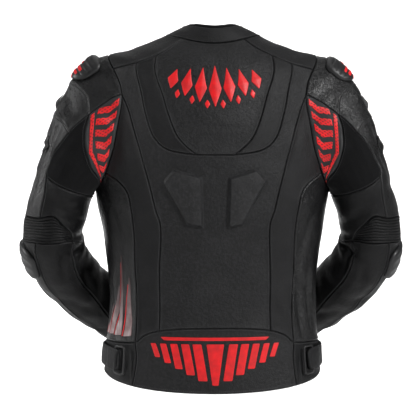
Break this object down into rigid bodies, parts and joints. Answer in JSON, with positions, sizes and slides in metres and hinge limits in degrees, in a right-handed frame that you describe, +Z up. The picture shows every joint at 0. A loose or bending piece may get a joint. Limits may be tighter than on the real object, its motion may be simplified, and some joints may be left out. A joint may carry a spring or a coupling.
{
  "type": "motorcycle jacket",
  "caption": "Leather race jacket for motorcycling, filled out as worn, with back pads, stretch panels, sliders, cuffs and a front zip.",
  "frame": {"origin": "middle of the neck hole, level with the points where the collar meets the shoulder line", "axes": "+Z up, +Y the way the wearer faces, +X the wearer's right"},
  "size_m": [0.7332, 0.3525, 0.6885],
  "materials": {
    "leather": "black cowhide, satin, fine grain",
    "stretch": "black ribbed stretch cloth, matte",
    "accent": "red print on perforated black leather, matte",
    "slider": "black moulded plastic, satin",
    "soft_edge": "black soft edge cloth, matte",
    "zip": "black zip tape and teeth, matte",
    "metal": "dark nickel, satin"
  },
  "bodies": {
    "root": {"back_lower": "leather", "back_pad_left": "leather", "back_pad_right": "leather", "back_side_left": "leather", "back_side_right": "leather", "back_strip_left": "leather", "back_strip_right": "leather", "back_upper": "leather", "collar": "leather", "collar_edge": "soft_edge", "cuff_left": "leather", "cuff_right": "leather", "elbow_ribs_left": "leather", "elbow_ribs_right": "leather", "elbow_slider_left": "slider", "elbow_slider_right": "slider", "forearm_back_left": "leather", "forearm_back_right": "leather", "forearm_inner_left": "leather", "forearm_inner_right": "leather", "forearm_outer_left": "leather", "forearm_outer_right": "leather", "front_left": "leather", "front_right": "leather", "front_zip": "zip", "hip_strap_left": "leather", "hip_strap_right": "leather", "lumbar_panel": "leather", "rear_accent_left": "accent", "rear_accent_right": "accent", "shoulder_slider_left": "slider", "shoulder_slider_right": "slider", "side_left": "leather", "side_right": "leather", "sleeve_front_left": "leather", "sleeve_front_right": "leather", "sleeve_head_left": "leather", "sleeve_head_right": "leather", "sleeve_outer_lower_left": "leather", "sleeve_outer_lower_right": "leather", "sleeve_outer_upper_left": "leather", "sleeve_outer_upper_right": "leather", "sleeve_stretch_left": "stretch", "sleeve_stretch_right": "stretch", "strap_loop_left": "slider", "strap_loop_right": "slider", "upper_arm_back_left": "leather", "upper_arm_back_right": "leather", "waistband_left": "leather", "waistband_right": "leather", "yoke_left": "leather", "yoke_right": "leather", "zip_slider": "metal"},
    "pull_tab": {"zip_pull": "metal"}
  },
  "joints": [
    {"name": "pull_tab_swing", "type": "hinge", "parent": "root", "child": "pull_tab", "pos_m": [0, 0.06881, -0.05425], "axis": [1, 0, 0], "range_deg": [0, 150]}
  ]
}
